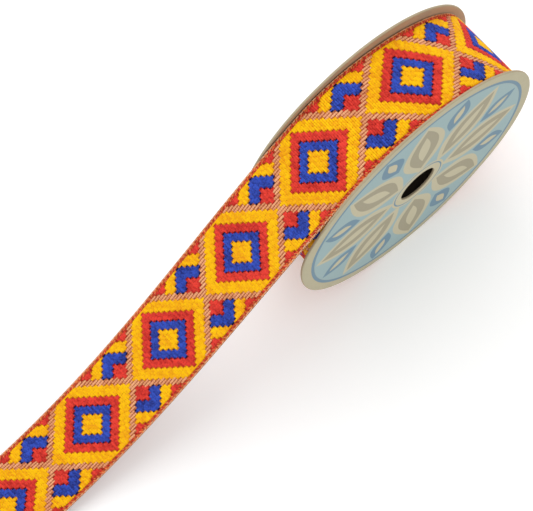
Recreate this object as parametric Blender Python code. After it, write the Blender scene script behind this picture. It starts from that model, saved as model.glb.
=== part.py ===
# A roll of woven border trim on a card spool, with its loose end drawn off to the front.
# The spool stands on the rims of its two flanges, its axis along X. The trim leaves over the
# top towards -Y, hangs down in a shallow S and lies down on the ground, which is Z = 0.
# The origin is on the ground, in the middle of the whole.

import math

import bmesh
import bpy
from mathutils import Vector

# The trim, a woven band
TRIM_WIDTH = 0.038
TRIM_THICKNESS = 0.0012
SELVEDGE_CHAMFER = 0.0003

# The wound roll. Its last turn is slack: it lies tight at the front, bulges at the back, sags over
# the top and leaves the roll at an angle past the top.
ROLL_RADIUS = 0.0616
BORE_RADIUS = 0.016
TAKE_OFF = math.radians(33.1)
LAST_TURN_DROP = 0.0076
DROP_POWER = 1.9
TOP_SAG = 0.0025
SAG_ANGLE = math.radians(99.4)
STEP_SLANT = 0.0002
ROLL_STEPS = 160

# The spool's flanges, two card discs. Each rim has a small flat to stand on.
FLANGE_RADIUS = 0.064
FLANGE_THICKNESS = 0.0010
HOLE_RADIUS = 0.0092
RIM_BEVEL = 0.00015
FLAT_HALF_WIDTH = 0.006
FLANGE_STEPS = 144

# The loose end: its slope grows from the take-off's to the steepest, then eases off to none
STEEPEST_SLOPE = math.radians(39.7)
HANG_STEPS = 60
LYING_LENGTH = 0.045
LYING_STEPS = 4

# The gap between pieces that touch
CLEARANCE = 0.0003

# What follows from the sizes above
flat_angle = math.asin(FLAT_HALF_WIDTH / FLANGE_RADIUS)
spool_height = FLANGE_RADIUS * math.cos(flat_angle)
flange_offset = TRIM_WIDTH / 2 + CLEARANCE + FLANGE_THICKNESS / 2


def round_point(x, radius, angle):
    # A point about the spool's axis. The angle runs from the top towards the front, -Y.
    return Vector((x, -radius * math.sin(angle), radius * math.cos(angle)))


def skin(sections, closed):
    # One closed body through a row of sections, each a loop of as many points
    mesh = bmesh.new()
    loops = [[mesh.verts.new(point) for point in section] for section in sections]
    count = len(loops[0])
    pairs = list(zip(loops, loops[1:]))
    if closed:
        pairs.append((loops[-1], loops[0]))
    else:
        mesh.faces.new(loops[0])
        mesh.faces.new(loops[-1])
    for this, following in pairs:
        for i in range(count):
            j = (i + 1) % count
            mesh.faces.new((this[i], this[j], following[j], following[i]))
    bmesh.ops.recalc_face_normals(mesh, faces=mesh.faces)
    return mesh


def add_piece(name, mesh, material, parent, location=(0, 0, 0)):
    data = bpy.data.meshes.new(name)
    mesh.to_mesh(data)
    mesh.free()
    data.shade_smooth()
    data.set_sharp_from_angle(angle=math.radians(30))
    data.materials.append(material)
    piece = bpy.data.objects.new(name, data)
    piece.parent = parent
    piece.location = location
    bpy.context.scene.collection.objects.link(piece)
    return piece


def plain_material(name, color, roughness):
    material = bpy.data.materials.new(name)
    material.use_nodes = True
    shader = material.node_tree.nodes["Principled BSDF"]
    shader.inputs["Base Color"].default_value = (*color, 1)
    shader.inputs["Roughness"].default_value = roughness
    shader.inputs["Metallic"].default_value = 0
    return material


def flange_mesh():
    # A turned disc. The edge that closes it, between the last angle and the first, is its flat.
    half = FLANGE_THICKNESS / 2
    profile = [
        (-half, HOLE_RADIUS),
        (-half, FLANGE_RADIUS - RIM_BEVEL),
        (-half + RIM_BEVEL, FLANGE_RADIUS),
        (half - RIM_BEVEL, FLANGE_RADIUS),
        (half, FLANGE_RADIUS - RIM_BEVEL),
        (half, HOLE_RADIUS),
    ]
    sections = []
    for i in range(FLANGE_STEPS):
        angle = math.pi + flat_angle + (2 * math.pi - 2 * flat_angle) * i / (FLANGE_STEPS - 1)
        sections.append([round_point(x, radius, angle) for x, radius in profile])
    return skin(sections, closed=True)


def roll_radius(back):
    # The outside of the last turn, at an angle back from the take-off
    drop = LAST_TURN_DROP * (back / (2 * math.pi)) ** DROP_POWER
    sag = TOP_SAG * math.sin(math.pi * min(back / SAG_ANGLE, 1)) ** 2
    return ROLL_RADIUS - drop - sag


def roll_mesh():
    # A turned ring whose outside is the one last turn, with a step where the trim leaves
    half = TRIM_WIDTH / 2
    whole_turn = 2 * math.pi - STEP_SLANT / ROLL_RADIUS
    sections = []
    for i in range(ROLL_STEPS):
        back = whole_turn * i / (ROLL_STEPS - 1)
        radius = roll_radius(back)
        profile = [
            (-half, BORE_RADIUS),
            (-half, radius - SELVEDGE_CHAMFER),
            (-half + SELVEDGE_CHAMFER, radius),
            (half - SELVEDGE_CHAMFER, radius),
            (half, radius - SELVEDGE_CHAMFER),
            (half, BORE_RADIUS),
        ]
        sections.append([round_point(x, r, TAKE_OFF - back) for x, r in profile])
    return skin(sections, closed=True)


def loose_end_route():
    # Stations (y, z, slope) along the middle of the sheet, seen from the spool's centre.
    # The slope is a parabola in the share of the hanging length, so the drop gives the length.
    ease = math.sqrt(1 - TAKE_OFF / STEEPEST_SLOPE)
    steepest_at = ease / (1 + ease)

    def slope_at(share):
        return STEEPEST_SLOPE * (1 - ((share - steepest_at) / (1 - steepest_at)) ** 2)

    start = round_point(0, ROLL_RADIUS - TRIM_THICKNESS / 2, TAKE_OFF)
    ground = TRIM_THICKNESS / 2 - spool_height
    middles = [slope_at((i + 0.5) / HANG_STEPS) for i in range(HANG_STEPS)]
    drop_per_length = sum(math.sin(slope) for slope in middles) / HANG_STEPS
    step = (start.z - ground) / drop_per_length / HANG_STEPS

    y = start.y
    z = start.z
    stations = [(y, z, TAKE_OFF)]
    for i, slope in enumerate(middles):
        y -= step * math.cos(slope)
        z -= step * math.sin(slope)
        stations.append((y, z, slope_at((i + 1) / HANG_STEPS)))
    for i in range(LYING_STEPS):
        stations.append((y - LYING_LENGTH * (i + 1) / LYING_STEPS, ground, 0))
    return stations


def loose_end_mesh(stations):
    # A flat band swept along the stations, its first one moved off the roll's step by a gap
    half = TRIM_WIDTH / 2
    thick = TRIM_THICKNESS / 2
    cut = SELVEDGE_CHAMFER
    outline = [
        (-half, cut - thick),
        (-half, thick - cut),
        (cut - half, thick),
        (half - cut, thick),
        (half, thick - cut),
        (half, cut - thick),
        (half - cut, -thick),
        (cut - half, -thick),
    ]
    sections = []
    for i, (y, z, slope) in enumerate(stations):
        along = Vector((0, -math.cos(slope), -math.sin(slope)))
        above = Vector((0, -math.sin(slope), math.cos(slope)))
        gap = CLEARANCE + STEP_SLANT if i == 0 else 0
        middle = Vector((0, y, z)) + along * gap
        sections.append([middle + Vector((x, 0, 0)) + above * rise for x, rise in outline])
    return skin(sections, closed=False)


def main():
    for old in list(bpy.data.objects):
        bpy.data.objects.remove(old)

    stations = loose_end_route()
    reach = -stations[-1][0]
    centre = bpy.data.objects.new("spool_centre", None)
    centre.location = (0, (reach - FLANGE_RADIUS) / 2, spool_height)
    bpy.context.scene.collection.objects.link(centre)

    trim = plain_material("woven_trim", (0.82, 0.36, 0.06), 0.75)
    loose_trim = plain_material("woven_trim_loose", (0.85, 0.40, 0.08), 0.75)
    add_piece("trim_roll", roll_mesh(), trim, centre)
    add_piece("trim_loose_end", loose_end_mesh(stations), loose_trim, centre)
    for name, side in (("flange_near", 1), ("flange_far", -1)):
        card = plain_material(name + "_card", (0.46, 0.44, 0.36), 0.8)
        add_piece(name, flange_mesh(), card, centre, (side * flange_offset, 0, 0))


main()
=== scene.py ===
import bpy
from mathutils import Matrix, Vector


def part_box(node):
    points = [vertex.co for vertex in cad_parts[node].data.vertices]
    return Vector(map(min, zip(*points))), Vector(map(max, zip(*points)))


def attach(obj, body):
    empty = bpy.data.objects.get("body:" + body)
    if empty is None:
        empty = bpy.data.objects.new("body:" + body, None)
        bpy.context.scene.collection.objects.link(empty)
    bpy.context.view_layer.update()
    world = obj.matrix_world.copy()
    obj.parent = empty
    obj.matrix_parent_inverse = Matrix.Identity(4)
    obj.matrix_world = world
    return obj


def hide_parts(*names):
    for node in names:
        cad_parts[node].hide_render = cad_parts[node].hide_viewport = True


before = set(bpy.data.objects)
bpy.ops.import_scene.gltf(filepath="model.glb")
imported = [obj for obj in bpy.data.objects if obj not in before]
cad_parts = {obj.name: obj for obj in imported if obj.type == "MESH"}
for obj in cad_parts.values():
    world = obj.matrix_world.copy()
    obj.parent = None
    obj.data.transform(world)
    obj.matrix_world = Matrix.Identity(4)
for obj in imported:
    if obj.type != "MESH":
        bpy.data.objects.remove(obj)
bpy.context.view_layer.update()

import math
import random

import bpy
import numpy as np
from mathutils import Matrix, Vector

# Node trees: wires that Python's operators work on


class Wire:
    def __init__(self, board, node, socket):
        self.board, self.node, self.socket = board, node, socket

    def out(self, name):  # another output of the same node
        return Wire(self.board, self.node, self.board.pick(self.node.outputs, name))

    def maths(self, operation, *values):
        return self.board.add("ShaderNodeMath", {"operation": operation}, dict(enumerate(values)))

    def __add__(self, other):
        return self.maths("ADD", self, other)

    def __sub__(self, other):
        return self.maths("SUBTRACT", self, other)

    def __rsub__(self, other):
        return self.maths("SUBTRACT", other, self)

    def __mul__(self, other):
        return self.maths("MULTIPLY", self, other)

    def __truediv__(self, other):
        return self.maths("DIVIDE", self, other)

    def __mod__(self, other):
        return self.maths("FLOORED_MODULO", self, other)

    def __lt__(self, other):
        return self.maths("LESS_THAN", self, other)

    def __gt__(self, other):
        return self.maths("GREATER_THAN", self, other)

    def __abs__(self):
        return self.maths("ABSOLUTE", self)

    def sine(self):
        return self.maths("SINE", self)

    def cosine(self):
        return self.maths("COSINE", self)

    def floored(self):
        return self.maths("FLOOR", self)

    def root(self):
        return self.maths("SQRT", self)

    def clamped(self):
        return self.board.add("ShaderNodeClamp", {}, {"Value": self})

    __radd__ = __add__
    __rmul__ = __mul__


class Board:
    def __init__(self, tree):
        self.tree = tree

    def pick(self, sockets, name):
        if isinstance(name, int):
            return sockets[name]
        return next(s for s in sockets if s.name == name and s.enabled)

    def add(self, kind, settings, values):  # a node, its settings first and then its sockets
        node = self.tree.nodes.new(kind)
        for name, value in settings.items():
            if name == "stops":
                while len(node.color_ramp.elements) < len(value):
                    node.color_ramp.elements.new(0.5)
                for stop, (place, color) in zip(node.color_ramp.elements, value):
                    stop.position, stop.color = place, (*color, 1)
            else:
                setattr(node, name, value)
        for name, value in values.items():
            socket = self.pick(node.inputs, name)
            if isinstance(value, Wire):
                self.tree.links.new(value.socket, socket)
            else:
                socket.default_value = value
        shown = [s for s in node.outputs if s.enabled]
        return Wire(self, node, shown[0] if shown else None)

    def blend(self, share, first, second):  # two colours
        colors = [c if isinstance(c, Wire) else (*c, 1) for c in (first, second)]
        values = {"Factor": share, "A": colors[0], "B": colors[1]}
        return self.add("ShaderNodeMix", {"data_type": "RGBA"}, values)

    def noise(self, where, scale, detail=2):
        return self.add("ShaderNodeTexNoise", {}, {"Vector": where, "Scale": scale, "Detail": detail})

    def parts(self, vector):
        split = self.add("ShaderNodeSeparateXYZ", {}, {"Vector": vector})
        return split.out("X"), split.out("Y"), split.out("Z")

    def stretched(self, vector, scale):
        return self.add("ShaderNodeMapping", {}, {"Vector": vector, "Scale": scale})


def paint(red, green, blue):  # a colour as seen, 0 to 255, made linear
    parts = [v / 255 for v in (red, green, blue)]
    return tuple(v / 12.92 if v <= 0.04045 else ((v + 0.055) / 1.055) ** 2.4 for v in parts)


def dimmed(color, share):
    return tuple(v * share for v in color)


class Finish(Board):  # one material, with its coordinates ready
    def __init__(self, name):
        self.material = bpy.data.materials.new(name)
        self.material.use_nodes = True
        super().__init__(self.material.node_tree)
        self.shader = self.tree.nodes["Principled BSDF"]
        self.place = self.add("ShaderNodeTexCoord", {}, {}).out("Object")

    def onCloth(self):  # across and along the flat trim, in metres
        return self.add("ShaderNodeUVMap", {"uv_map": "flat"}, {})

    def gloss(self, level, sheen=0.0, tint=(1, 1, 1)):
        self.shader.inputs["Specular IOR Level"].default_value = level
        self.shader.inputs["Sheen Weight"].default_value = sheen
        self.shader.inputs["Sheen Roughness"].default_value = 0.4
        self.shader.inputs["Sheen Tint"].default_value = (*tint, 1)

    def done(self, color, rough, relief=None, depth=0.0001, strength=1.0):
        for name, value in (("Base Color", color), ("Roughness", rough)):
            if isinstance(value, Wire):
                self.tree.links.new(value.socket, self.shader.inputs[name])
            else:
                self.shader.inputs[name].default_value = value if name == "Roughness" else (*value, 1)
        if relief is not None:
            values = {"Height": relief, "Distance": depth, "Strength": strength}
            bump = self.add("ShaderNodeBump", {}, values)
            self.tree.links.new(bump.socket, self.shader.inputs["Normal"])
        return self.material


# The spool, measured on the near flange part of model.glb
flangeLow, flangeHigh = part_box("flange_near")
flangeRadius = (flangeHigh.y - flangeLow.y) / 2
spoolCentre = Vector((0, (flangeHigh.y + flangeLow.y) / 2, flangeHigh.z - flangeRadius))

# The trim's way: once round the roll, off it at the front and down to the ground
trim = {
    "width": 0.038,
    "thickness": 0.0012,
    "rollRadius": 0.0616,  # the outside of the last turn where it leaves the roll
    "lastTurnDrop": 0.0076,  # how much nearer the middle it lies a whole turn back
    "dropPower": 1.9,
    "topSag": 0.0025,
    "sagAngle": math.radians(99.4),
    "boreRadius": 0.016,
    "takeOff": math.radians(33.1),  # past the top
    "steepest": math.radians(39.7),
    "lying": 0.045,
    "slack": 0.04,  # how much longer the pattern is down the loose end, past slackFrom
    "slackFrom": 0.058,
    "woundSlack": 0.022,  # and round the roll
    "lean": 0.09,
    "turnSteps": 1600,
    "hangSteps": 600,
    "threadReach": 0.01,  # the way goes on past the tip, for the ends of its threads
}


def trimWay():  # length along the trim from the take-off, and the middle line's y, z and outward y, z
    middle = trim["rollRadius"] - trim["thickness"] / 2
    angles = np.linspace(trim["takeOff"] - 2 * math.pi, trim["takeOff"], trim["turnSteps"])
    back = trim["takeOff"] - angles
    sag = trim["topSag"] * np.sin(math.pi * np.minimum(back / trim["sagAngle"], 1)) ** 2
    radii = middle - trim["lastTurnDrop"] * (back / (2 * math.pi)) ** trim["dropPower"] - sag
    y = -radii * np.sin(angles)
    z = radii * np.cos(angles)
    wound = np.stack([y, z, -np.sin(angles), np.cos(angles)], 1)
    along = np.concatenate([[0], np.cumsum(np.hypot(np.diff(y), np.diff(z)))])
    along -= along[-1]

    ease = math.sqrt(1 - trim["takeOff"] / trim["steepest"])
    steepestAt = ease / (1 + ease)
    steps = trim["hangSteps"]
    share = (np.arange(steps) + 0.5) / steps
    slope = trim["steepest"] * (1 - ((share - steepestAt) / (1 - steepestAt)) ** 2)
    ground = trim["thickness"] / 2 - spoolCentre.z
    step = (z[-1] - ground) / np.sin(slope).sum()
    hangY = y[-1] - step * np.cumsum(np.cos(slope))
    hangZ = z[-1] - step * np.cumsum(np.sin(slope))
    ends = trim["steepest"] * (1 - ((share + 0.5 / steps - steepestAt) / (1 - steepestAt)) ** 2)
    hang = np.stack([hangY, hangZ, -np.sin(ends), np.cos(ends)], 1)
    hangAlong = step * (np.arange(steps) + 1)

    reaches = trim["lying"], trim["lying"] + trim["threadReach"]
    lie = np.array([[hangY[-1] - reach, hangZ[-1], 0, 1] for reach in reaches])
    way = np.concatenate([wound, hang, lie])
    lengths = np.concatenate([along, hangAlong, [hangAlong[-1] + reach for reach in reaches]])
    return lengths, way


wayLengths, wayPoints = trimWay()
turnLength = -wayLengths[0]
looseLength = wayLengths[-2]


# The pattern is a little longer down the loose end and round the roll than between them
def drawn(place):  # from a length in the pattern's own measure to one along the trim
    loose = trim["slack"] * np.maximum(0, place - trim["slackFrom"])
    return place + loose + trim["woundSlack"] * np.minimum(0, place)


def undrawn(length):  # and back
    if length < 0:
        return length / (1 + trim["woundSlack"])
    return length - trim["slack"] / (1 + trim["slack"]) * max(0, length - trim["slackFrom"])


looseEnd = undrawn(looseLength)
rollStart = undrawn(-turnLength)


def bend(mesh):  # from flat (across, along, height) to the trim's way; the flat place stays as UVs
    flat = np.zeros(len(mesh.vertices) * 3)
    mesh.vertices.foreach_get("co", flat)
    flat = flat.reshape(-1, 3)
    corner = np.zeros(len(mesh.loops), int)
    mesh.loops.foreach_get("vertex_index", corner)
    layer = mesh.uv_layers.get("flat") or mesh.uv_layers.new(name="flat")
    layer.data.foreach_set("uv", flat[corner][:, :2].ravel())
    share = np.clip(flat[:, 1] / looseEnd, 0, 1)
    lean = trim["lean"] * np.sin(math.pi * share)  # the picks lie a little askew
    lengths = drawn(flat[:, 1]) - lean * flat[:, 0]
    y, z, outY, outZ = (np.interp(lengths, wayLengths, wayPoints[:, i]) for i in range(4))
    size = np.hypot(outY, outZ)
    bent = np.stack([
        flat[:, 0],
        spoolCentre.y + y + outY / size * flat[:, 2],
        spoolCentre.z + z + outZ / size * flat[:, 2],
    ], 1)
    mesh.vertices.foreach_set("co", bent.ravel())
    mesh.update()


def addPiece(name, mesh, materials):
    for material in materials:
        mesh.materials.append(material)
    piece = bpy.data.objects.new(name, mesh)
    bpy.context.scene.collection.objects.link(piece)
    return piece


print("way: one turn", round(turnLength, 4), "loose", round(looseLength, 4))

# The pattern: stepped diamonds in a lattice, with a stepped chevron at each side between them
chart = {
    "repeat": 0.05065,
    "rows": 28,
    "sideColumns": 10,
    "columnWidth": 0.00172,
    "fieldHalf": 0.01725,
    "firstMotif": 0.0071,
    "seamPicks": 8,  # the loose end begins this many picks before its first motif's middle
    "rings": ((3, "yellow"), (6, "blue"), (9, "red"), (13, "yellow"), (15, "lattice")),
    "sideBands": ((6, "red"), (10, "blue"), (14, "yellow"), (99, "red")),
}
pickLength = chart["repeat"] / chart["rows"] / 2  # two picks to a row
fieldHalf = chart["fieldHalf"]  # the columns at both sides are narrower than the rest


def yarnAt(row, column):
    half = chart["rows"] // 2
    down = abs((row + half) % chart["rows"] - half)
    ring = down + abs(column)
    for limit, yarn in chart["rings"]:
        if ring <= limit:
            return yarn
    band = half - down + abs(column)
    return next(yarn for limit, yarn in chart["sideBands"] if band <= limit)


def pickPlace(pick):
    return chart["firstMotif"] + (pick + 0.5) * pickLength


def rowOf(pick):
    return (pick + 1) // 2


def picksBetween(low, high):
    first = math.ceil((low - chart["firstMotif"]) / pickLength - 0.5)
    last = math.floor((high - chart["firstMotif"]) / pickLength - 0.5)
    return range(first, last + 1)


# The yarns, as they look in the light: in their hollows and on their crowns
yarnColors = {
    "yellow": (paint(240, 158, 0), paint(255, 203, 0)),
    "red": (paint(186, 36, 30), paint(236, 68, 54)),
    "blue": (paint(30, 42, 120), paint(56, 86, 198)),
    "salmon": (paint(204, 124, 80), paint(249, 188, 142)),
    "amber": (paint(200, 98, 44), paint(240, 152, 88)),
    "rust": (paint(172, 68, 30), paint(226, 112, 52)),
    "brick": (paint(134, 38, 24), paint(188, 64, 40)),
    "peach": (paint(198, 138, 98), paint(236, 188, 148)),
}
yarnLook = {
    "middle": 0.62,  # the tone, from hollow to crown
    "uneven": 1.5,  # how much it varies, from stitch to stitch, in clouds and in wide patches
    "stitches": 0.5,
    "clouds": 1.4,
    "cloudScale": 1300,
    "patches": 0.8,
    "patchScale": 90,
    "salmonCalm": 0.55,
    # painted shade in the dips where picks cross the salmon strokes
    "salmonDipShade": 0.4,
    "rough": 0.62,
    "roughSpread": 0.2,
    "gloss": 0.18,
    "sheen": 0.10,
    "twist": 17000,
    "twistSlant": 0.7,
    "fibre": 9000,
    "fibreStretch": (0.25, 1, 1),
    "depth": 0.00005,
    "strength": 0.6,
}


def yarnFinish(name):
    look = Finish(name + "Yarn")
    flat = look.onCloth()
    across, along, _ = look.parts(flat)
    shade = look.add("ShaderNodeAttribute", {"attribute_name": "shade"}, {}).out("Fac")
    cloud = look.noise(flat, yarnLook["cloudScale"], 3)
    patch = look.noise(flat, yarnLook["patchScale"], 2)
    uneven = (
        (shade - 0.5) * yarnLook["stitches"] + (cloud - 0.5) * yarnLook["clouds"]
        + (patch - 0.5) * yarnLook["patches"]
    )
    if name == "salmon":  # the warp strokes are more even, and darkened as painted shade in the dip where each pick crosses them
        bead = abs(((along - chart["firstMotif"]) * (math.pi / pickLength)).sine())
        tone = uneven * (yarnLook["uneven"] * yarnLook["salmonCalm"]) + yarnLook["middle"]
        tone = (tone - (1 - bead) * yarnLook["salmonDipShade"]).clamped()
    else:
        tone = (uneven * yarnLook["uneven"] + yarnLook["middle"]).clamped()
    color = look.blend(tone, *yarnColors[name])
    twist = ((across + along * yarnLook["twistSlant"]) * yarnLook["twist"]).sine() * 0.5 + 0.5
    fibre = look.noise(look.stretched(flat, yarnLook["fibreStretch"]), yarnLook["fibre"], 2)
    look.gloss(yarnLook["gloss"], yarnLook["sheen"], yarnColors[name][1])
    spread = yarnLook["roughSpread"]
    rough = tone * spread + (yarnLook["rough"] - spread / 2)
    return look.done(color, rough, twist * 0.5 + fibre, yarnLook["depth"], yarnLook["strength"])


# The ground cloth under the yarns: its dark yarn, darkened further into painted shade for the gaps where it
# shows between floats; striped along the lattice
groundAndShadeColors = {
    "yellow": paint(206, 128, 4),
    "red": paint(150, 26, 16),
    "blue": paint(16, 16, 44),
    "lattice": paint(172, 88, 56),
    "edge": paint(138, 44, 22),
}
groundLook = {
    "threads": 0.7,
    "clouds": 0.4,
    "cloudScale": 700,
    # dark and pale: painted shade in the hollows between threads and painted light on their crowns
    "dark": 0.45,
    "pale": 1.25,
    "bridged": 0.45,  # the share of the lattice's hollows where two ribs meet
    "bridgeShare": 0.7,
    "gloss": 0.15,
    "rough": 0.85,
    "depth": 0.00012,
    "strength": 0.8,
}
ribs = {"count": 29, "longest": 0.0056}
ribSpacing = 2 * fieldHalf / ribs["count"]


def groundFinish(name):
    look = Finish(name + "Ground")
    flat = look.onCloth()
    across, along, _ = look.parts(flat)
    warp = abs(((across / ribSpacing) * math.pi).cosine())
    weft = abs(((along - chart["firstMotif"]) * (math.pi / pickLength)).sine())
    thread = warp * 0.5 + weft * 0.5
    cloud = look.noise(flat, groundLook["cloudScale"], 3)
    # painted shade and painted light: the colour follows the threads' relief, darker in their hollows and
    # paler on their crowns
    tone = (thread * groundLook["threads"] + cloud * groundLook["clouds"]).clamped()
    shades = [dimmed(groundAndShadeColors[name], groundLook[end]) for end in ("dark", "pale")]
    color = look.blend(tone, *shades)
    if name == "lattice":  # the pale ribs meet here and there, in a brick pattern
        rib = (across / ribSpacing).floored()
        row = (along - chart["firstMotif"]) / (2 * pickLength)
        bridge = (row + rib * 0.5) % 1 < groundLook["bridged"]
        color = look.blend(bridge * groundLook["bridgeShare"], color, yarnColors["salmon"][0])
    look.gloss(groundLook["gloss"])
    return look.done(color, groundLook["rough"], thread, groundLook["depth"], groundLook["strength"])


reverse = {
    "yarns": ((0.0, paint(206, 128, 30)), (0.34, paint(170, 60, 40)), (0.67, paint(58, 62, 118))),
    "between": 0.17,  # a place within the first yarn's share
    "muting": paint(196, 128, 96),
    "mutedLeast": 0.2,
    "mutedMore": 0.5,
    # painted shade for the hollows between the crossing yarns' humps
    "hollowShade": dimmed(paint(120, 50, 34), 0.5),
    "binding": 0.25,
    "bound": 0.4,
    "depth": 0.00018,
    "strength": 0.9,
}


def reverseFinish():  # the back: long crossing yarns that the front doesn't use, bound by the warp
    look = Finish("reverseSide")
    flat = look.onCloth()
    across, along, _ = look.parts(flat)
    pick = (along - chart["firstMotif"]) / pickLength
    count = len(reverse["yarns"])
    order = (pick.floored() % count) / count + reverse["between"]
    yarns = look.add("ShaderNodeValToRGB", {"stops": reverse["yarns"]}, {"Fac": order})
    yarns.node.color_ramp.interpolation = "CONSTANT"
    cloud = look.noise(flat, 140, 3)
    muted = look.blend(cloud * reverse["mutedMore"] + reverse["mutedLeast"], yarns, reverse["muting"])
    hump = abs(((along - chart["firstMotif"]) * (math.pi / pickLength)).sine())
    free = abs((across * (math.pi / (2 * ribSpacing))).sine()) > reverse["binding"]
    relief = hump * (free * (1 - reverse["bound"]) + reverse["bound"])
    # painted shade: darker where the relief is low, in the hollows between the humps
    color = look.blend(relief, reverse["hollowShade"], muted)
    look.gloss(0.2, 0.1)
    return look.done(color, 0.8, relief, reverse["depth"], reverse["strength"])


turnEdge = {
    "dark": paint(128, 40, 22),
    "pale": paint(226, 160, 120),
    "patch": paint(150, 80, 20),
    "patchShare": 0.5,
    "cloudScale": 900,
    "patchScale": 60,
    "grain": 2600,
    "depth": 0.0001,
}


def turnEdgeFinish():  # the selvedges of the wound turns, seen from the side
    look = Finish("turnEdges")
    cloud = look.noise(look.place, turnEdge["cloudScale"], 4)
    patch = look.noise(look.place, turnEdge["patchScale"], 2)
    color = look.blend(cloud, turnEdge["dark"], turnEdge["pale"])
    color = look.blend(patch * turnEdge["patchShare"], color, turnEdge["patch"])
    look.gloss(0.15)
    return look.done(color, 0.85, look.noise(look.place, turnEdge["grain"], 2), turnEdge["depth"], 0.6)


card = {
    "pale": paint(196, 188, 158),
    "dark": paint(172, 164, 134),
    "inside": paint(200, 172, 140),
    "insideDark": paint(170, 142, 112),
    "cut": paint(192, 178, 148),
    "cutDark": paint(152, 136, 108),
    # bore card, darkened to near black: painted shade of the deep hole and of the gap at the step
    "boreShade": paint(70, 58, 44),
    "boreDeepShade": paint(40, 33, 25),
    "printBlue": paint(150, 178, 182),
    "printGrey": paint(160, 152, 128),
    "printDeep": paint(98, 136, 160),
    "fibreScale": 1600,
    "fibreStretch": (1, 0.35, 1),
    "fibres": 0.6,
    "cloudScale": 55,
    "clouds": 0.55,
    "darker": 0.08,
    "rough": 0.85,
    "printRough": 0.62,
    "printGloss": 0.25,
    "printWear": 0.22,
}


def boardTone(look):  # grey board, mottled by its fibres
    fibres = look.noise(look.stretched(look.place, card["fibreStretch"]), card["fibreScale"], 4)
    clouds = look.noise(look.place, card["cloudScale"], 3)
    return fibres, (fibres * card["fibres"] + clouds * card["clouds"] - card["darker"]).clamped()


def boardFinish(name, light, dark):
    look = Finish(name)
    fibres, tone = boardTone(look)
    return look.done(look.blend(tone, dark, light), card["rough"], fibres, 0.00005, 0.5)


groundNames = list(groundAndShadeColors)
groundMaterials = [groundFinish(name) for name in groundNames]
groundMaterials += [reverseFinish(), turnEdgeFinish()]
# near-black card for the bore and the step wall: painted shade
groundMaterials.append(boardFinish("boreShadeCard", card["boreShade"], card["boreDeepShade"]))
reverseSlot, turnSlot, boreShadeSlot = (len(groundNames) + i for i in range(3))
print("materials of the trim made")

# The ground cloth, woven flat
ground = {
    "top": 0.00018,
    "edgeTop": 0.00005,
    "bottom": -0.0006,
    "edgeBottom": -0.0003,
    "hump": 0.00012,
    "closest": 0.0002,  # no two rows of points lie nearer than this
    "stripeLines": (0.01755, 0.0181, 0.0186),
}
stripeLines = list(ground["stripeLines"])
columnLines = [(c + 0.5) * chart["columnWidth"] for c in range(-chart["sideColumns"], chart["sideColumns"])]
columnLines = [-fieldHalf] + columnLines + [fieldHalf]
acrossLines = (
    [-trim["width"] / 2] + [-x for x in reversed(stripeLines)]
    + columnLines + stripeLines + [trim["width"] / 2]
)


def groundSlot(pick, x):  # which ground colour, darkened as painted shade, lies under this place
    if abs(x) > fieldHalf:
        return groundNames.index("edge")
    return groundNames.index(yarnAt(rowOf(pick), round(x / chart["columnWidth"])))


def rowsBetween(low, high):  # the lines between picks, with the two ends
    lines = [pickPlace(p) + pickLength / 2 for p in picksBetween(low, high)]
    closest = ground["closest"]
    return [low] + [line for line in lines if low + closest < line < high - closest] + [high]


def loftFlat(name, rows, profileAt, slotAt, closed):
    # Joins a loop of (x, height) points at each row of the flat cloth into one body
    profiles = [profileAt(row) for row in rows]
    count = len(profiles[0])
    vertices = [(x, row, height) for row, profile in zip(rows, profiles) for x, height in profile]
    faces, slots = [], []
    for r in range(len(rows) - (0 if closed else 1)):
        start = r * count
        after = ((r + 1) % len(rows)) * count
        pick = None  # in the wall that closes a ring
        if r < len(rows) - 1:
            pick = math.floor(((rows[r] + rows[r + 1]) / 2 - chart["firstMotif"]) / pickLength)
        for i in range(count):
            j = (i + 1) % count
            faces.append((start + i, start + j, after + j, after + i))
            slots.append(slotAt(pick, i))
    if not closed:
        faces += [tuple(reversed(range(count))), tuple(len(vertices) - count + i for i in range(count))]
        slots += [reverseSlot, reverseSlot]
    mesh = bpy.data.meshes.new(name)
    mesh.from_pydata(vertices, [], faces)
    mesh.polygons.foreach_set("material_index", slots)
    return mesh


def faceOut(mesh):  # turns the whole closed body round if its volume comes out negative
    mesh.calc_loop_triangles()
    points = np.zeros(len(mesh.vertices) * 3)
    mesh.vertices.foreach_get("co", points)
    points = points.reshape(-1, 3)
    corners = np.zeros(len(mesh.loop_triangles) * 3, int)
    mesh.loop_triangles.foreach_get("vertices", corners)
    a, b, c = (points[corners.reshape(-1, 3)[:, i]] for i in range(3))
    if np.einsum("ij,ij->i", a, np.cross(b, c)).sum() < 0:
        mesh.flip_normals()


def topHeight(x):
    return ground["top"] if abs(x) <= stripeLines[1] else ground["edgeTop"]


def looseProfile(row):  # its underside humps over each pick
    top = [(x, topHeight(x)) for x in acrossLines]
    hump = abs(math.sin(math.pi * (row - chart["firstMotif"]) / pickLength))
    low = ground["bottom"] + ground["hump"] * (1 - hump)
    bottom = [(x, low if abs(x) < stripeLines[2] else ground["edgeBottom"]) for x in acrossLines]
    return top + bottom[::-1]


def looseSlot(pick, i):
    if i < len(acrossLines) - 1:
        return groundSlot(pick, (acrossLines[i] + acrossLines[i + 1]) / 2)
    return reverseSlot


seam = chart["firstMotif"] - chart["seamPicks"] * pickLength  # between two picks, at the take-off
looseRows = rowsBetween(seam, looseEnd)
looseRows = sorted(looseRows + [(a + b) / 2 for a, b in zip(looseRows, looseRows[1:])])
looseMesh = loftFlat("looseGround", looseRows, looseProfile, looseSlot, closed=False)
bend(looseMesh)
faceOut(looseMesh)
looseMesh.shade_smooth()
looseGround = addPiece("looseGround", looseMesh, groundMaterials[:turnSlot + 1])

# The wound roll: its outer turn's ground, the edges of the turns within and the bore; the bore and the wall
# that closes the ring at the step are near-black card, painted shade of the deep hole and the gap
turns = {"count": 30, "crest": 0.00005, "valley": 0.00032, "softness": 0.0003, "tube": 0.001}


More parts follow.
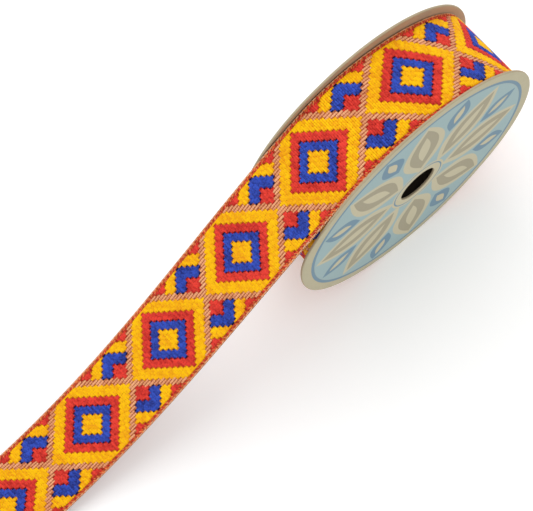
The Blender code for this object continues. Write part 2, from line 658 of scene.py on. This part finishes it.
def rollProfile(row):
    radii = np.hypot(wayPoints[:, 0], wayPoints[:, 1])
    depthToBore = np.interp(drawn(row), wayLengths, radii) - trim["boreRadius"]
    side = []
    for turn in range(1, turns["count"]):
        height = ground["edgeBottom"] - turn * (depthToBore - turns["tube"]) / turns["count"]
        side.append((turns["valley"], height + turns["softness"]))
        side.append((turns["crest"], height))
    half = trim["width"] / 2
    right = [(half - inset, height) for inset, height in side] + [(half, -depthToBore)]
    left = [(-x, height) for x, height in reversed(right)]
    return [(x, topHeight(x)) for x in acrossLines] + right + left


margins = {"rollCloth": 0.0003, "rollYarns": 0.0008, "tipYarns": 0.0006}  # kept clear at both ends
rollTop = len(acrossLines) - 1
rollSide = 2 * (turns["count"] - 1) + 1


def rollSlot(pick, i):
    # the wall that closes the ring at the step, and the bore, take the near-black card of painted shade
    if pick is None:
        return boreShadeSlot
    if i < rollTop:
        return groundSlot(pick, (acrossLines[i] + acrossLines[i + 1]) / 2)
    return boreShadeSlot if i == rollTop + rollSide else turnSlot


rollRows = rowsBetween(rollStart + margins["rollCloth"], seam)
rollMesh = loftFlat("rollGround", rollRows, rollProfile, rollSlot, closed=True)
bend(rollMesh)
faceOut(rollMesh)
rollMesh.shade_smooth()
rollMesh.set_sharp_from_angle(angle=math.radians(50))
rollGround = addPiece("rollGround", rollMesh, groundMaterials)
print("ground cloth woven:", len(looseMesh.polygons), "and", len(rollMesh.polygons), "faces")

# The raised yarns: one low stitch shape, set along the charted runs by a node tree
stitch = {
    "section": ((-0.5, 0.0), (-0.4, 0.72), (0.0, 1.0), (0.4, 0.72), (0.5, 0.0)),  # across and up
    "stations": ((-0.5, 0.5, 0.3), (-0.36, 1.0, 0.9), (0.36, 1.0, 0.9), (0.5, 0.5, 0.3)),
    "base": 0.0001,
    "longest": 0.0029,
    "overlap": 0.00012,
    "stagger": 0.28,  # of a stitch's length, either way, and less in every other pair of picks
    "lessStagger": 0.4,
    "wander": 0.03,
}


def stitchShape():  # one long, one wide and one high; a station gives its place, width and height
    vertices = [
        (x, y * wide, z * high)
        for x, wide, high in stitch["stations"] for y, z in stitch["section"]
    ]
    count = len(stitch["section"])
    faces = [tuple(range(count)), tuple(reversed(range(len(vertices) - count, len(vertices))))]
    for s in range(len(stitch["stations"]) - 1):
        for i in range(count):
            j = (i + 1) % count
            faces.append((s * count + j, s * count + i, (s + 1) * count + i, (s + 1) * count + j))
    mesh = bpy.data.meshes.new("stitchShape")
    mesh.from_pydata(vertices, [], faces)
    faceOut(mesh)
    mesh.shade_smooth()
    return bpy.data.objects.new("stitchShape", mesh)


def stitchTree():
    tree = bpy.data.node_groups.new("stitchTree", "GeometryNodeTree")
    sockets = (
        ("Runs", "NodeSocketGeometry"), ("Stitch", "NodeSocketObject"), ("Width", "NodeSocketFloat"),
        ("Height", "NodeSocketFloat"), ("Unevenness", "NodeSocketFloat"), ("Seed", "NodeSocketInt"),
        ("Yarn", "NodeSocketMaterial"),
    )
    for name, kind in sockets:
        tree.interface.new_socket(name=name, in_out="INPUT", socket_type=kind)
    tree.interface.new_socket(name="Stitches", in_out="OUTPUT", socket_type="NodeSocketGeometry")
    board = Board(tree)
    given = board.add("NodeGroupInput", {}, {})
    shape = board.add("GeometryNodeObjectInfo", {}, {"Object": given.out("Stitch"), "As Instance": True})

    def named(name):
        return board.add("GeometryNodeInputNamedAttribute", {"data_type": "FLOAT"}, {"Name": name})

    def chance(low, high, more):
        values = {"Min": low, "Max": high, "Seed": given.out("Seed") + more}
        return board.add("FunctionNodeRandomValue", {"data_type": "FLOAT"}, values)

    uneven = given.out("Unevenness")
    width = given.out("Width") * chance(1 - uneven, 1 + uneven, 1)
    height = given.out("Height") * chance(1 - uneven, 1 + uneven, 2)
    size = board.add("ShaderNodeCombineXYZ", {}, {"X": named("span"), "Y": width, "Z": height})
    lean = named("heading") + chance(-stitch["wander"], stitch["wander"], 3)
    turn = board.add("ShaderNodeCombineXYZ", {}, {"Z": lean})
    placed = board.add("GeometryNodeInstanceOnPoints", {}, {
        "Points": given.out("Runs"), "Instance": shape.out("Geometry"), "Rotation": turn, "Scale": size,
    })
    shaded = board.add("GeometryNodeStoreNamedAttribute", {"data_type": "FLOAT", "domain": "INSTANCE"}, {
        "Geometry": placed, "Name": "shade", "Value": chance(0.0, 1.0, 4),
    })
    real = board.add("GeometryNodeRealizeInstances", {}, {"Geometry": shaded})
    finished = board.add("GeometryNodeSetMaterial", {}, {"Geometry": real, "Material": given.out("Yarn")})
    board.add("NodeGroupOutput", {}, {"Stitches": finished})
    return tree


stitchObject = stitchShape()
stitchNodes = stitchTree()
yarnMaterials = {name: yarnFinish(name) for name in yarnColors}


def setStitches(name, runs, material, width, height, uneven, seed):
    # runs: (across, along, height, span, heading) of each stitch, on the flat trim
    points = bpy.data.meshes.new(name)
    points.from_pydata([run[:3] for run in runs], [], [])
    for attribute, column in (("span", 3), ("heading", 4)):
        values = points.attributes.new(attribute, "FLOAT", "POINT")
        values.data.foreach_set("value", [run[column] for run in runs])
    holder = bpy.data.objects.new(name, points)
    bpy.context.scene.collection.objects.link(holder)
    modifier = holder.modifiers.new("stitches", "NODES")
    modifier.node_group = stitchNodes
    inputs = {
        "Stitch": stitchObject, "Width": width, "Height": height,
        "Unevenness": uneven, "Seed": seed, "Yarn": material,
    }
    for item in stitchNodes.interface.items_tree:
        if item.in_out == "INPUT" and item.name in inputs:
            modifier[item.identifier] = inputs[item.name]
    depsgraph = bpy.context.evaluated_depsgraph_get()
    mesh = bpy.data.meshes.new_from_object(holder.evaluated_get(depsgraph))
    bpy.data.objects.remove(holder)
    return mesh


notch = {  # the dark gap at each end of a run, and the one at a corner of the step
    "yellow": (0.00006, 0.00036), "red": (0.00002, 0.00040), "blue": (0.00018, 0.00070),
}
crowding = {"order": ("yellow", "red", "blue"), "creep": 0.00018}  # a later yarn pushes an earlier one back


def endGap(yarn, pick, column, way):
    beyond = pick - 1 if pick % 2 else pick + 1  # the nearest pick of the next row
    gap = notch[yarn][yarnAt(rowOf(beyond), column) != yarn]
    neighbour = yarnAt(rowOf(pick), column + way)
    order = crowding["order"]
    if neighbour in order and abs(column) < chart["sideColumns"]:
        gap += crowding["creep"] * (1 if order.index(neighbour) > order.index(yarn) else -1)
    return gap


def weftRuns(low, high):  # the coloured yarns float across, a run for each stretch of one colour
    runs = {"yellow": [], "red": [], "blue": []}
    side = chart["sideColumns"]
    for pick in picksBetween(low, high):
        along = pickPlace(pick)
        columns = [yarnAt(rowOf(pick), c) for c in range(-side, side + 1)]
        start = 0
        while start < len(columns):
            end = start
            while end + 1 < len(columns) and columns[end + 1] == columns[start]:
                end += 1
            if columns[start] in runs:
                yarn = columns[start]
                left = max(-fieldHalf, (start - side - 0.5) * chart["columnWidth"])
                left += endGap(yarn, pick, start - side, -1)
                right = min(fieldHalf, (end - side + 0.5) * chart["columnWidth"])
                right -= endGap(yarn, pick, end - side, 1)
                runs[yarn] += splitRun(left, right, along, pick)
            start = end + 1
    return runs


def splitRun(left, right, along, pick):  # long floats are bound down, staggered from pick to pick
    count = max(1, math.ceil((right - left) / stitch["longest"]))
    length = (right - left) / count
    cuts = [left + length * i for i in range(count + 1)]
    if count > 1:
        stagger = stitch["stagger"] * (1 if pick % 2 else -1)
        shift = length * stagger * (1 if (pick // 2) % 2 else stitch["lessStagger"])
        cuts = [cuts[0]] + [cut + shift for cut in cuts[1:-1]] + [cuts[-1]]
    over = stitch["overlap"]
    stitches = []
    for a, b in zip(cuts, cuts[1:]):
        a -= 0 if a == left else over
        b += 0 if b == right else over
        stitches.append(((a + b) / 2, along, stitch["base"], b - a, 0.0))
    return stitches


def latticeRuns(low, high):  # pale warp strokes along the lattice
    runs = []
    rowLength = 2 * pickLength
    first = math.floor((low - chart["firstMotif"]) / rowLength) - 1
    last = math.ceil((high - chart["firstMotif"]) / rowLength) + 1
    for rib in range(ribs["count"]):
        x = (rib - (ribs["count"] - 1) / 2) * ribSpacing
        column = round(x / chart["columnWidth"])
        row = first
        while row <= last:
            end = row
            while yarnAt(end, column) == "lattice":
                end += 1
            if end > row:
                start = chart["firstMotif"] + (row - 0.5) * rowLength
                length = (end - row) * rowLength
                pieces = max(1, math.ceil(length / ribs["longest"]))
                for i in range(pieces):
                    along = start + length * (i + 0.5) / pieces
                    if low <= along < high:
                        runs.append((x, along, stitch["base"], length / pieces, math.pi / 2))
            row = max(end, row + 1)
    return runs


# The edge stripe, from the field outwards: each cord's place, spacing, stroke, lean and colours
edgeCords = (
    (0.01756, 0.00070, 0.00120, 0.75, ("red", "brick", "rust", "red", "amber")),
    (0.01808, 0.00070, 0.00120, 0.75, ("brick", "rust", "amber", "brick", "rust", "amber", "red")),
    (0.01860, 0.00080, 0.00112, -0.30, ("peach", "peach", "amber", "peach", "peach", "rust")),
)
edge = {"sunk": 0.00005, "returnPlace": 0.01882, "returnSpan": 0.00052, "returnHeight": -0.0001}


def edgeRuns(low, high):
    runs = {"red": [], "brick": [], "rust": [], "amber": [], "peach": []}
    for side in (-1, 1):
        for place, spacing, stroke, lean, colors in edgeCords:
            for i in range(math.ceil(low / spacing - 0.5), math.ceil(high / spacing - 0.5)):
                heading = math.pi / 2 + lean * side
                yarn = colors[i % len(colors)]
                height = stitch["base"] - edge["sunk"]
                runs[yarn].append((side * place, (i + 0.5) * spacing, height, stroke, heading))
        for pick in picksBetween(low, high):
            place = side * edge["returnPlace"]
            runs["peach"].append((place, pickPlace(pick), edge["returnHeight"], edge["returnSpan"], 0.0))
    return runs


fray = {
    "count": 58,
    "width": 0.0372,
    "jitter": 0.3,
    "shortest": 0.0008,
    "longest": 0.0022,
    "spread": 0.35,
    "rooted": 0.0005,
    "lowest": -0.0004,
    "seed": 7,
}


def frayRuns(end):  # warp threads that stick out of the cut end
    draw = random.Random(fray["seed"])
    runs = {"amber": [], "brick": [], "red": []}
    for i in range(fray["count"]):
        jitter = draw.uniform(-fray["jitter"], fray["jitter"])
        x = (i + 0.5 + jitter) / fray["count"] * fray["width"] - fray["width"] / 2
        length = draw.uniform(fray["shortest"], fray["longest"])
        heading = math.pi / 2 + draw.uniform(-1, 1) * fray["spread"]
        yarn = draw.choice(list(runs))
        height = draw.uniform(fray["lowest"], 0.0)
        runs[yarn].append((x, end + length / 2 - fray["rooted"], height, length, heading))
    return runs


def joinMeshes(name, meshes):
    holders = []
    for mesh in meshes:
        holder = bpy.data.objects.new(name, mesh)
        bpy.context.scene.collection.objects.link(holder)
        holders.append(holder)
    with bpy.context.temp_override(active_object=holders[0], selected_editable_objects=holders):
        bpy.ops.object.join()
    holders[0].name = name
    return holders[0]


# Each kind of stitch: its width, its height and how uneven they are
yarnSizes = {
    "weft": (0.00096, 0.00042, 0.07),
    "lattice": (0.00090, 0.00032, 0.20),
    "edge": (0.00046, 0.00032, 0.15),
}
seeds = {"loose": 11, "roll": 41, "lattice": 5, "edge": 10}  # a kind's is added to its piece's


def stitchPieces(name, low, high, ends):  # the raised yarns and the edges between two places
    def made(kind, yarn, runs, more):
        return setStitches(name, runs, yarnMaterials[yarn], *yarnSizes[kind], seeds[name] + more)

    floats = [made("weft", yarn, runs, i) for i, (yarn, runs) in enumerate(weftRuns(low, high).items())]
    floats.append(made("lattice", "salmon", latticeRuns(low, high), seeds["lattice"]))
    edgeYarns = [*edgeRuns(low, high).items(), *ends.items()]
    edges = [made("edge", yarn, runs, seeds["edge"] + i) for i, (yarn, runs) in enumerate(edgeYarns)]
    for mesh in floats + edges:
        bend(mesh)
        faceOut(mesh)
    return joinMeshes(name + "Floats", floats), joinMeshes(name + "Edges", edges)


looseFloats, looseEdges = stitchPieces("loose", seam, looseEnd - margins["tipYarns"], frayRuns(looseEnd))
rollFloats, rollEdges = stitchPieces("roll", rollStart + margins["rollYarns"], seam, {})
for piece in (looseFloats, looseEdges, rollFloats, rollEdges):
    print("stitches:", piece.name, sum(len(face.vertices) - 2 for face in piece.data.polygons), "triangles")

# The card flanges: a turned disc, printed outside, with a cut edge and a plain inside
flange = {
    "thickness": 0.0010,
    "hole": 0.0092,
    "softness": 0.00022,
    "corner": (0.35, 0.3),  # the middle of a softened corner, in shares of the softness
    "steps": 216,
    "rippleDepth": 0.00012,
    "nearBend": 0.0011,  # the near one's rim is bent in at the front
    "bendAt": math.radians(260),
    "bendWidth": math.radians(19),
    "bendPower": 12,
    "rings": (0.0125, 0.020, 0.030, 0.040, 0.048, 0.0535, 0.058, 0.0605, 0.0625),
}


# The print, a generic rosette, from the bottom up and in millimetres: a ring's two radii, or the
# count of leaves, their turn, their inner and outer radius and half their width
rosette = (
    ("ring", (0, 57.6), "printBlue"),
    ("leaves", (8, 0.5, 13, 57, 11.5), "pale"),
    ("leaves", (8, 0.5, 17, 54, 8.0), "printGrey"),
    ("leaves", (8, 0.5, 24, 47, 3.2), "pale"),
    ("leaves", (8, 0.0, 36, 57, 6.0), "printDeep"),
    ("leaves", (8, 0.0, 41, 53, 2.4), "pale"),
    ("ring", (0, 14.6), "pale"),
    ("ring", (12.6, 13.5), "printDeep"),
    ("ring", (57.5, 59.3), "printDeep"),
)
printSharpness = 6  # of its edges, to a millimetre


def printFinish():
    look = Finish("printedCard")
    fibres, tone = boardTone(look)
    sideways, upward, _ = look.parts(look.add("ShaderNodeUVMap", {"uv_map": "face"}, {}))
    radius = (sideways * sideways + upward * upward).root()
    angle = upward.maths("ARCTAN2", upward, sideways)
    millimetres = radius * 1000

    def offRib(count, phase):  # how far, in millimetres, a place is from the nearest leaf's midrib
        return abs((angle * (count / math.tau) + phase) % 1 - 0.5) * (math.tau / count) * millimetres

    def within(depth):  # a mask with crisp edges from how far inside a shape a place is
        return (depth * printSharpness).clamped()

    def leaves(count, phase, inner, outer, halfWidth):
        share = ((millimetres - inner) / (outer - inner)).clamped()
        return within((share * math.pi).sine() * halfWidth - offRib(count, phase))

    def ring(inner, outer):
        return within(millimetres - inner) * within(outer - millimetres)

    masks = {"leaves": leaves, "ring": ring}
    color = look.blend(tone, card["dark"], card["pale"])
    for shape, sizes, ink in rosette:
        color = look.blend(masks[shape](*sizes), color, card[ink])
    worn = look.blend(tone * card["printWear"], color, card["dark"])
    look.gloss(card["printGloss"])
    return look.done(worn, card["printRough"], fibres, 0.00004, 0.4)


flangeMaterials = [
    printFinish(),
    boardFinish("insideCard", card["inside"], card["insideDark"]),
    boardFinish("cutCard", card["cut"], card["cutDark"]),
]


def flangeMesh(name, side):  # side 1 faces +X, -1 faces -X
    low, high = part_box(name)
    outerX = high.x if side > 0 else -low.x
    inner = outerX - flange["thickness"]
    rim, hole, soft = flangeRadius, flange["hole"], flange["softness"]
    across, down = (soft * share for share in flange["corner"])
    deepest = flange["nearBend"] if side > 0 else 0
    profile = [(outerX - soft, hole, 2), (outerX, hole + soft, 0)]
    profile += [(outerX, r, 0) for r in flange["rings"]]
    profile += [(outerX, rim - soft, 2), (outerX - across, rim - down, 2), (outerX - soft, rim, 2)]
    profile += [(inner + soft, rim, 2), (inner + across, rim - down, 2), (inner, rim - soft, 1)]
    profile += [(inner, r, 1) for r in reversed(flange["rings"])]
    profile += [(inner, hole + soft, 2), (inner + soft, hole, 2)]
    steps = flange["steps"]
    vertices = []
    for step in range(steps):
        angle = math.tau * step / steps
        for x, radius, _ in profile:
            share = radius / rim
            ripple = flange["rippleDepth"] * share ** 3 * math.sin(3 * angle + side)
            ripple *= 1 + 0.5 * math.sin(2 * angle)
            offBend = (angle - flange["bendAt"]) / flange["bendWidth"]
            bent = deepest * math.exp(-offBend ** 2) * share ** flange["bendPower"]
            y = spoolCentre.y + radius * math.sin(angle)
            z = max(0.0, spoolCentre.z - radius * math.cos(angle))
            vertices.append((side * (x + abs(ripple) - bent), y, z))
    count = len(profile)
    faces, slots = [], []
    for step in range(steps):
        here, there = step * count, (step + 1) % steps * count
        for i in range(count):
            j = (i + 1) % count
            faces.append((here + i, there + i, there + j, here + j))
            slots.append(profile[i][2])
    mesh = bpy.data.meshes.new(name)
    mesh.from_pydata(vertices, [], faces)
    mesh.polygons.foreach_set("material_index", slots)
    layer = mesh.uv_layers.new(name="face")
    for loop in mesh.loops:
        place = mesh.vertices[loop.vertex_index].co
        layer.data[loop.index].uv = (side * (place.y - spoolCentre.y), place.z - spoolCentre.z)
    faceOut(mesh)
    mesh.shade_smooth()
    mesh.set_sharp_from_angle(angle=math.radians(40))
    return mesh


flangeNear = addPiece("nearFlange", flangeMesh("flange_near", 1), flangeMaterials)
flangeFar = addPiece("farFlange", flangeMesh("flange_far", -1), flangeMaterials)
print("flanges turned")

# Each piece, listed with what it stands for, is hung from the root body, and the model's parts it replaces
# are hidden
pieces = (
    (looseGround, "woven_trim"), (looseFloats, "woven_trim"), (looseEdges, "woven_trim"),
    (rollGround, "woven_trim"), (rollFloats, "woven_trim"), (rollEdges, "woven_trim"),
    (flangeNear, "card"), (flangeFar, "card"),
)
for piece, slot in pieces:
    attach(piece, "root")
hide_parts("trim_loose_end")
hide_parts("trim_roll")
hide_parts("flange_near")
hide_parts("flange_far")

# The studio: a pale floor, soft light from all round and one broad lamp
studio = {
    "floorHalf": 6.0,
    "floorDark": paint(249, 249, 249),
    "floorPale": paint(252, 252, 252),
    "floorRough": 0.9,
    "floorGlow": 0.16,
    "sky": 0.80,
    "lampPower": 10.9,
    "lampSize": 1.4,
    "lampPlace": (-0.7, 0.1, 1.5),
}


def floorFinish():
    look = Finish("paleFloor")
    look.shader.inputs["Emission Color"].default_value = (1, 1, 1, 1)
    look.shader.inputs["Emission Strength"].default_value = studio["floorGlow"]
    cloud = look.noise(look.place, 3, 2)
    return look.done(look.blend(cloud, studio["floorDark"], studio["floorPale"]), studio["floorRough"])


def studioFloor():
    half = studio["floorHalf"]
    mesh = bpy.data.meshes.new("floor")
    corners = [(-half, -half, 0), (half, -half, 0), (half, half, 0), (-half, half, 0)]
    mesh.from_pydata(corners, [], [(0, 1, 2, 3)])
    return addPiece("floor", mesh, [floorFinish()])


def studioLight():
    world = bpy.data.worlds.new("studio")
    world.use_nodes = True
    world.node_tree.nodes["Background"].inputs["Color"].default_value = (1, 1, 1, 1)
    world.node_tree.nodes["Background"].inputs["Strength"].default_value = studio["sky"]
    bpy.context.scene.world = world
    lamp = bpy.data.lights.new("broadLamp", "AREA")
    lamp.energy = studio["lampPower"]
    lamp.size = studio["lampSize"]
    holder = bpy.data.objects.new("broadLamp", lamp)
    holder.location = studio["lampPlace"]
    aim = spoolCentre - holder.location
    holder.rotation_euler = aim.to_track_quat("-Z", "Y").to_euler()
    bpy.context.scene.collection.objects.link(holder)


studioFloor()
studioLight()

# The camera stands to the right of the front and looks steeply down
view = {
    "azimuth": math.radians(49.84),
    "elevation": math.radians(69.72),
    "roll": math.radians(-0.58),
    "target": (-0.0012, 0.0417, 0.0485),
    "distance": 0.7333,
    "lens": 117.0,
}


def placeCamera():
    flatReach = math.cos(view["elevation"])
    back = Vector((
        flatReach * math.sin(view["azimuth"]),
        -flatReach * math.cos(view["azimuth"]),
        math.sin(view["elevation"]),
    ))
    lens = bpy.data.cameras.new("photoView")
    lens.lens = view["lens"]
    lens.clip_start = 0.01
    camera = bpy.data.objects.new("photoView", lens)
    upright = back.to_track_quat("Z", "Y")
    camera.matrix_world = (
        Matrix.Translation(Vector(view["target"]) + back * view["distance"])
        @ upright.to_matrix().to_4x4() @ Matrix.Rotation(view["roll"], 4, "Z")
    )
    bpy.context.scene.collection.objects.link(camera)
    bpy.context.scene.camera = camera


placeCamera()
bpy.context.scene.view_settings.view_transform = "Standard"
bpy.context.view_layer.update()
print("done")
